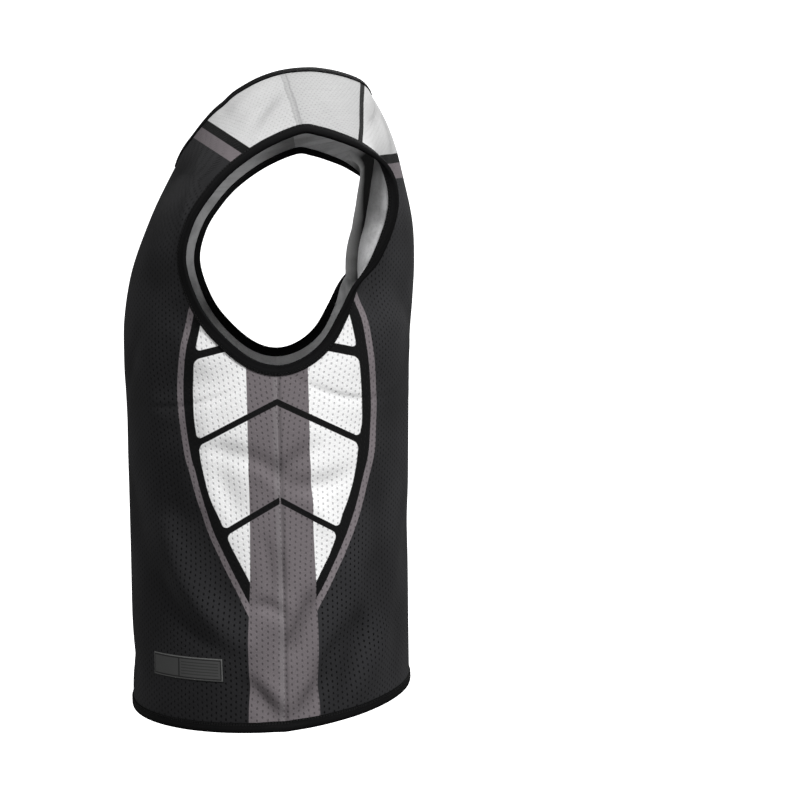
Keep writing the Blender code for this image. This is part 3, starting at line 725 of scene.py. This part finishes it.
# ---------------- neck, armhole and hem bindings
# Black knitted tape, about 30 mm wide before it is folded over the edge of both plies and sewn
# through with two rows of stitches near its inner edge. It is the only join between the plies.
TAPE_STEP = 3.0
TAPE_DEPTHS = (0, 2.4, 4.8, 7.2, 9.5)
TAPE_FACE = ((9.5, 1.75), (9.35, 2.25), (8.8, 2.42), (8.1, 2.3), (7.3, 2.45), (5.8, 2.6), (4.0, 2.65),
             (2.2, 2.6), (0.8, 2.45), (-0.4, 2.1), (-1.0, 1.4), (-1.3, 0.5))
TAPE_BACK = ((9.5, -1.3), (5.0, -1.28), (0.0, -1.28), (-0.35, -0.8), (-0.35, 0.8), (0.0, 1.28),
             (5.0, 1.28), (9.5, 1.3))
TAPE_PROFILE = TAPE_FACE + tuple((depth, -lift) for depth, lift in TAPE_FACE[::-1]) + TAPE_BACK


def cloth_tree():
    """Search tree over the form shared by both plies."""
    spots, faces = [], []
    for half in quarters:
        numbers = np.arange(half.points[..., 0].size).reshape(half.points.shape[:2])
        faces += grid_faces(numbers + sum(map(len, spots))).tolist()
        spots.append(half.points.reshape(-1, 3))
    return BVHTree.FromPolygons(np.concatenate(spots).tolist(), faces)


form = cloth_tree()


def edge_run(pieces):
    """Even stations round a closed edge: points and normals, from (half, place) pieces."""
    both = np.concatenate([np.concatenate((half.points[place], half.normals[place]), axis=1)
                           for half, place in pieces])
    apart = np.linalg.norm(np.diff(both[:, :3], axis=0), axis=1)
    both = both[np.concatenate(([True], apart > 0.05))]
    if np.linalg.norm(both[0, :3] - both[-1, :3]) < 0.05:
        both = both[:-1]
    both = np.concatenate((both, both[:1]))
    run = length_along(both[:, :3])
    stops = np.linspace(0, run[-1], int(run[-1] / TAPE_STEP) + 1)[:-1]
    both = spots_along(both, run, stops)
    return both[:, :3], both[:, 3:] / np.linalg.norm(both[:, 3:], axis=1)[:, None], stops


def legs_under_tape(points, normals):
    """For each station, points and normals of the cloth at each depth in from the edge."""
    along = np.roll(points, -1, axis=0) - np.roll(points, 1, axis=0)
    outward = np.cross(along, normals)
    outward /= np.linalg.norm(outward, axis=1)[:, None]
    probe = points - outward * 6
    found = [form.find_nearest(Vector(spot))[0] for spot in probe]
    apart = np.linalg.norm(np.array([list(spot) for spot in found]) - probe, axis=1)
    if np.median(apart) > 2:
        outward = -outward
    spots, directions = [points], [normals]
    for depth in TAPE_DEPTHS[1:]:
        layer_spots, layer_normals = [], []
        for station, probe in enumerate(points - outward * depth):
            spot, facing = form.find_nearest(Vector(probe))[:2]
            facing = np.array(facing)
            layer_spots.append(list(spot))
            layer_normals.append(facing if facing @ normals[station] > 0 else -facing)
        smooth = np.array(layer_normals)
        smooth = smooth + np.roll(smooth, 1, axis=0) + np.roll(smooth, -1, axis=0)
        spots.append(np.array(layer_spots))
        directions.append(smooth / np.linalg.norm(smooth, axis=1)[:, None])
    return np.array(spots), np.array(directions), outward


def on_tape(spots, directions, outward, depth, lift):
    """Points of one line along a tape, at a depth in from the edge and a height off the cloth."""
    if depth <= 0:
        return spots[0] - outward * depth + directions[0] * lift
    place = np.interp(depth, TAPE_DEPTHS, range(len(TAPE_DEPTHS)))
    below = min(int(place), len(TAPE_DEPTHS) - 2)
    part = place - below
    normal = directions[below] * (1 - part) + directions[below + 1] * part
    return spots[below] * (1 - part) + spots[below + 1] * part + normal * lift


def folded_tape(name, pieces, start_phase):
    """Tape folded round a closed edge, slightly uneven as sewn."""
    points, normals, stops = edge_run(pieces)
    spots, directions, outward = legs_under_tape(points, normals)
    waver = (0.16 * np.sin(stops / 31 + start_phase) + 0.12 * np.sin(stops / 12.3 + 2 * start_phase)
             + 0.07 * np.sin(stops / 5.1))[:, None]
    rings, arounds = [], []
    for number, (depth, lift) in enumerate(TAPE_PROFILE):
        line = on_tape(spots, directions, outward, depth, lift)
        if number < 2 * len(TAPE_FACE):
            puff = 0.5 if 2 < depth < 8 else 0.15
            line = line + directions[0] * waver * puff * (1 if lift > 0 else -1)
        rings.append(line)
        arounds.append(depth if lift > 0 else -depth)
    rings = np.array(rings).transpose(1, 0, 2)
    stations, corners = rings.shape[:2]
    numbers = np.arange(stations * corners).reshape(stations, corners)
    faces = grid_faces(np.pad(numbers, ((0, 1), (0, 1)), "wrap"))
    turn = np.cross(rings[0, 1] - rings[0, 0], rings[1, 0] - rings[0, 0])
    if turn @ directions[-1][0] < 0:
        faces = faces[:, ::-1]
    tape_map = np.stack((np.repeat(stops, corners), np.tile(arounds, stations)), -1)
    made = made_mesh(name, rings.reshape(-1, 3), faces.tolist(), {"tape": tape_map})
    made.data.set_sharp_from_angle(angle=math.radians(60))
    return made, (spots, directions, outward, stops)


def tape_finish():
    finish = Finish("black_tape", Specular_IOR_Level=0.08)
    along, depth = finish.flat_place("tape")
    depth = abs(depth)
    fleck = finish.noise(along, depth, 0.9, 3.0, 0.6)
    patch = finish.noise(along, depth, 0.05, 2.0)
    # Paler along the middle of the tape, where it rounds over the edge: a painted sheen, with lower
    # roughness there too
    middle = (1 - abs(depth - 4.2) / 3.6).most(0)
    share = (middle * 0.55 + fleck * 0.35 + patch * 0.25).least(1)
    colour = finish.blend(share, (0.0014, 0.0014, 0.0015), (0.0060, 0.0060, 0.0064))
    groove = 1 - (abs(depth - 8.1) / 0.5).least(1)
    relief = fleck * 0.3 - ribs(along, 1.3) * 0.45 - groove * 0.9
    finish.feed(Base_Color=colour, Roughness=0.86 - middle * 0.14,
                Normal=finish.bump(relief, 0.6, 0.0006))
    return finish.material


neck_row = BODY_ROWS + ARMHOLE_ROWS
up_arm, down_arm = (slice(BODY_ROWS, None), COLUMNS), (slice(None, BODY_ROWS - 1, -1), COLUMNS)
up_neck, down_neck = (slice(neck_row, None), 0), (slice(None, neck_row - 1, -1), 0)
out_hem, in_hem = (0, slice(0, COLUMNS + 1)), (0, slice(COLUMNS, None, -1))
black_tape = tape_finish()
tape_lines = {}
for name, node, phase, pieces in (
        ("neck_tape", "neck_binding", 0.4, ((front_left, up_neck), (back_left, down_neck),
                                            (back_right, up_neck), (front_right, down_neck))),
        ("armhole_left_tape", "armhole_binding_left", 1.7, ((front_left, up_arm), (back_left, down_arm))),
        ("armhole_right_tape", "armhole_binding_right", 2.9,
         ((front_right, up_arm), (back_right, down_arm))),
        ("hem_tape", "hem_binding", 4.1, ((front_left, out_hem), (back_left, in_hem),
                                          (back_right, out_hem), (front_right, in_hem)))):
    tape, tape_lines[name] = folded_tape(name, pieces, phase)
    tape.data.materials.append(black_tape)
    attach(tape, "root")
    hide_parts(node)

# ---------------- stitching on the bindings
# Two rows of black polyester thread through the tape, near its inner edge, in lock stitches
# that sink a little into the knit. Each row shows on the outside and on the inside.
STITCH_LENGTH = 2.5
STITCH_PITCH = 3.1
STITCH_RADIUS = 0.22
STITCH_ROWS = (8.3, 6.9)
STITCH_LIFT = 2.42
STITCH_SIDES = 5
STITCH_SHAPE = ((-0.5, 0.35, -0.22), (-0.3, 0.95, 0), (0.3, 0.95, 0), (0.5, 0.35, -0.22))


def stitch_row(lines, depth, lift, spots, faces):
    """Add one row of stitches at a depth in from the edge."""
    cloth, directions, outward, stops = lines
    path = on_tape(cloth, directions, outward, depth, lift)
    path = np.concatenate((path, path[:1]))
    facing = np.concatenate((directions[-2], directions[-2][:1]))
    run = length_along(path)
    turns = np.linspace(0, 2 * math.pi, STITCH_SIDES, endpoint=False)
    for number in range(int(run[-1] / STITCH_PITCH)):
        middle = (number + 0.5) * STITCH_PITCH
        numbers = len(spots) + np.arange(len(STITCH_SHAPE) * STITCH_SIDES).reshape(-1, STITCH_SIDES)
        for share, size, sink in STITCH_SHAPE:
            at = middle + share * STITCH_LENGTH
            centre, ahead = (spots_along(path, run, place) for place in (at, at + 0.5))
            normal = spots_along(facing, run, at)
            normal = normal if lift > 0 else -normal
            ahead = (ahead - centre) / max(np.linalg.norm(ahead - centre), 1e-9)
            side = np.cross(ahead, normal)
            centre = centre + normal * sink
            spots.extend(centre + (side * math.cos(turn) * 1.25 + normal * math.sin(turn))
                         * STITCH_RADIUS * size for turn in turns)
        faces += grid_faces(np.pad(numbers, ((0, 0), (0, 1)), "wrap")).tolist()
        faces += [numbers[0, ::-1].tolist(), numbers[-1].tolist()]


def thread_finish():
    finish = Finish("black_thread", Specular_IOR_Level=0.25)
    twist = finish.grain(2200.0, 2.0)
    finish.feed(Base_Color=finish.blend(twist, 0.003, (0.014, 0.014, 0.0145)),
                Roughness=0.5 + twist * 0.25, Normal=finish.bump(twist, 0.4, 0.0002))
    return finish.material


black_thread = thread_finish()
for name, lines in tape_lines.items():
    spots, faces = [], []
    for depth in STITCH_ROWS:
        for lift in (STITCH_LIFT, -STITCH_LIFT):
            stitch_row(lines, depth, lift, spots, faces)
    stitches = made_mesh(name + "_stitches", np.array(spots), faces, {})
    stitches.data.materials.append(black_thread)
    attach(stitches, "root")

# ---------------- size label
# A heat-pressed patch of dark grey film low on the wearer's left, with a thin border and two
# boxes. Its letter and small print are left off: plain ruled lines stand in the larger box.
LABEL_WIDTH, LABEL_HEIGHT = 100.0, 24.0
LABEL_CENTRE_Z, LABEL_CENTRE_Y = -582.0, -110.0
LABEL_COLUMNS, LABEL_ROWS = 60, 16
LABEL_LIFT, LABEL_WALL, LABEL_BEVEL = 1.3, 0.5, 0.25


def label_patch():
    half = front_left
    heights = half.points[:BODY_ROWS, COLUMNS // 2, 2]
    ups = np.interp(np.linspace(-LABEL_HEIGHT / 2, LABEL_HEIGHT / 2, LABEL_ROWS + 1) + LABEL_CENTRE_Z,
                    heights, range(len(heights)))
    middle = half.points[int(ups.mean())]
    run = length_along(middle)
    centre = np.interp(LABEL_CENTRE_Y, middle[:, 1], run)
    stops = np.linspace(-LABEL_WIDTH / 2, LABEL_WIDTH / 2, LABEL_COLUMNS + 1) + centre
    acrosses = np.interp(stops, run, range(COLUMNS + 1))
    skins = []
    for lift in (LABEL_LIFT + LABEL_WALL, LABEL_LIFT):
        moved = half.points + half.normals * lift
        rows, columns = ups.astype(int), acrosses.astype(int)
        up, across = (ups - rows)[:, None, None], (acrosses - columns)[None, :, None]
        rows, columns = rows[:, None], columns[None, :]
        low, high = (moved[row, columns] * (1 - across) + moved[row, columns + 1] * across
                     for row in (rows, rows + 1))
        skins.append(low * (1 - up) + high * up)
    edge = np.ones((LABEL_ROWS + 1, LABEL_COLUMNS + 1, 1))
    edge[1:-1, 1:-1] = 0
    skins[0] = skins[0] - half.normals[int(ups.mean()), int(acrosses.mean())] * edge * LABEL_BEVEL
    flat = np.stack(np.meshgrid(np.linspace(0, LABEL_WIDTH, LABEL_COLUMNS + 1),
                                np.linspace(0, LABEL_HEIGHT, LABEL_ROWS + 1)), -1).reshape(-1, 2)
    return made_mesh("size_patch", np.concatenate([skin.reshape(-1, 3) for skin in skins]),
                     shell_faces(LABEL_ROWS + 1, LABEL_COLUMNS + 1).tolist(),
                     {"patch": np.concatenate((flat, flat))})


def label_finish():
    finish = Finish("grey_label", Specular_IOR_Level=0.35)
    along, up = finish.flat_place("patch")

    def box(left, right, low, high):
        """Distance in from the sides of a box, below 0 outside it."""
        return (along - left).least(right - along).least((up - low).least(high - up))

    outline = box(0.5, 99.5, 0.5, 23.5)
    border = outline.above(0, 0.3) * (1 - outline.above(1.1, 0.3))
    first, second = box(3.0, 43.0, 3.0, 21.0), box(45.0, 97.0, 3.0, 21.0)
    boxed = first.above(0, 0.3).most(second.above(0, 0.3))
    ruled = (1 - abs(((up - 4.6) / 3.0).fraction() - 0.5).above(0.16, 0.1)) * second.above(2.2, 0.3)
    fleck = finish.noise(along, up, 1.6, 3.0, 0.6)
    colour = finish.coat(0.011, (boxed, (0.070, 0.071, 0.070)), (border, (0.125, 0.126, 0.125)),
                         (ruled * 0.75, 0.018), (fleck * 0.35, 0.02))
    relief = border * 0.5 + boxed * 0.3 + fleck * 0.25
    finish.feed(Base_Color=colour, Roughness=0.5 + fleck * 0.25, Normal=finish.bump(relief, 0.4, 0.0003))
    return finish.material


label = label_patch()
label.data.materials.append(label_finish())
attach(label, "root")
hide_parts("size_label")

# ---------------- studio
# A white sweep of paper, soft light from above and from the camera's side, and a camera level
# with the chest, square to the wearer's left side.


def paper_sweep():
    """Floor that curves up into a backdrop behind the jersey."""
    profile = [(2.6, -1.45), (-1.4, -1.45)]
    profile += [(-1.4 - math.sin(turn), -0.45 - math.cos(turn))
                for turn in np.linspace(0.08, math.pi / 2, 20)]
    profile += [(-2.4, 1.0)]
    spots = [(x, y, z) for x, z in profile for y in (-1.4, 1.9)]
    faces = grid_faces(np.arange(len(spots)).reshape(-1, 2))
    return made_mesh("paper_sweep", np.array(spots) / MM, faces.tolist(), {})


sweep = paper_sweep()
paper = Finish("white_paper", Roughness=0.9)
paper.feed(Base_Color=paper.blend(paper.grain(40.0, 4.0), 0.93, 0.96))
paper.shader.inputs["Emission Color"].default_value = (1, 1, 1, 1)
paper.shader.inputs["Emission Strength"].default_value = 0.85
sweep.data.materials.append(paper.material)
sweep.visible_diffuse = False
sweep.visible_glossy = False

world = bpy.data.worlds.new("studio")
bpy.context.scene.world = world
world.use_nodes = True
tree = world.node_tree
tree.nodes["Background"].inputs["Color"].default_value = (1, 1, 1, 1)
tree.nodes["Background"].inputs["Strength"].default_value = 0.20
pale = Finish.node_in(tree, "ShaderNodeBackground", {}, {"Color": (1, 1, 1, 1), "Strength": 0.72})
seen = Finish.node_in(tree, "ShaderNodeLightPath", {}, {}, 0)
lit = Wire(tree, tree.nodes["Background"].outputs[0])
both = Finish.node_in(tree, "ShaderNodeMixShader", {}, {0: seen, 1: lit, 2: pale})
tree.links.new(both.socket, tree.nodes["World Output"].inputs["Surface"])


def soft_box(name, location, target, width, height, power):
    light = bpy.data.lights.new(name, "AREA")
    light.shape, light.size, light.size_y, light.energy = "RECTANGLE", width, height, power
    made = bpy.data.objects.new(name, light)
    made.location = location
    made.visible_camera = False
    made.rotation_euler = (Vector(target) - Vector(location)).to_track_quat("-Z", "Y").to_euler()
    bpy.context.collection.objects.link(made)


soft_box("key_softbox", (1.74, 1.15, 1.32), (0.15, 0, -0.3), 0.6, 0.8, 78)
soft_box("top_softbox", (1.0, -1.3, 1.4), (0.1, 0, -0.1), 0.8, 0.8, 14)
soft_box("fill_softbox", (2.2, -1.6, 0.1), (0, 0, -0.3), 1.1, 1.5, 10)
soft_box("far_softbox", (-1.7, 0.5, 1.5), (-0.1, 0, -0.3), 0.9, 0.9, 34)

FOCAL_PIXELS, PICTURE_PIXELS = 1963, 800
bpy.context.scene.view_settings.view_transform = "Standard"
lens = bpy.data.cameras.new("camera")
lens.sensor_width = 36.0
lens.lens = 36.0 * FOCAL_PIXELS / PICTURE_PIXELS
lens.shift_x, lens.shift_y = 0.05, -0.05
lens.clip_start, lens.clip_end = 0.05, 50
camera = bpy.data.objects.new("camera", lens)
camera.location = (2.1515, -0.0190, -0.1623)
turned = Matrix.Rotation(math.radians(-2.539), 4, "Z") @ Matrix.Rotation(math.radians(-2.974), 4, "Y")
turned = turned @ Matrix.Rotation(math.radians(0.13), 4, "X")
camera.rotation_euler = (turned @ Euler((math.pi / 2, 0, math.pi / 2)).to_matrix().to_4x4()).to_euler()
bpy.context.collection.objects.link(camera)
bpy.context.scene.camera = camera
